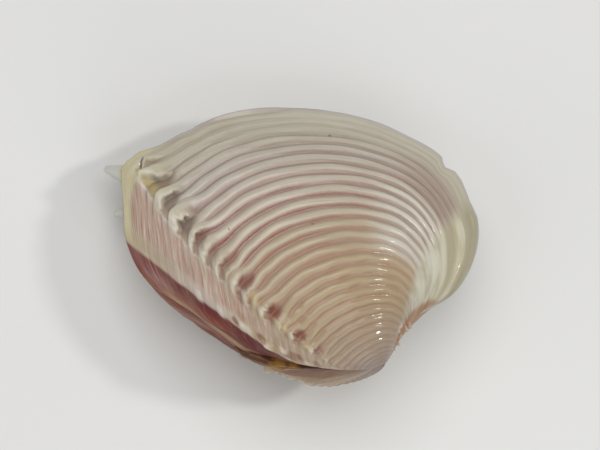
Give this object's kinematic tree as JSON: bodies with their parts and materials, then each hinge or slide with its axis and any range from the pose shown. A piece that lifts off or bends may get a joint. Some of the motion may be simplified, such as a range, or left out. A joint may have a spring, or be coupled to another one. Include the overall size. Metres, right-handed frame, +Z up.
{
  "type": "clam shell",
  "caption": "Closed spiny venus clam shell with both ribbed valves, folded spine rows and the dried brown ligament, lying on one valve.",
  "frame": {"origin": "middle of the base of the shell's box, on the surface that the shell lies on", "axes": "+X from the siphon end to the anterior end, +Y from the beaks to the ventral margin, +Z up through the left valve"},
  "size_m": [0.0466, 0.0364, 0.021],
  "materials": {
    "shell": "glossy cream and mauve growth bands",
    "dried_ligament": "glossy amber brown, dried"
  },
  "bodies": {
    "root": {"left_valve": "shell", "right_valve": "shell", "ligament": "dried_ligament"}
  },
  "joints": []
}
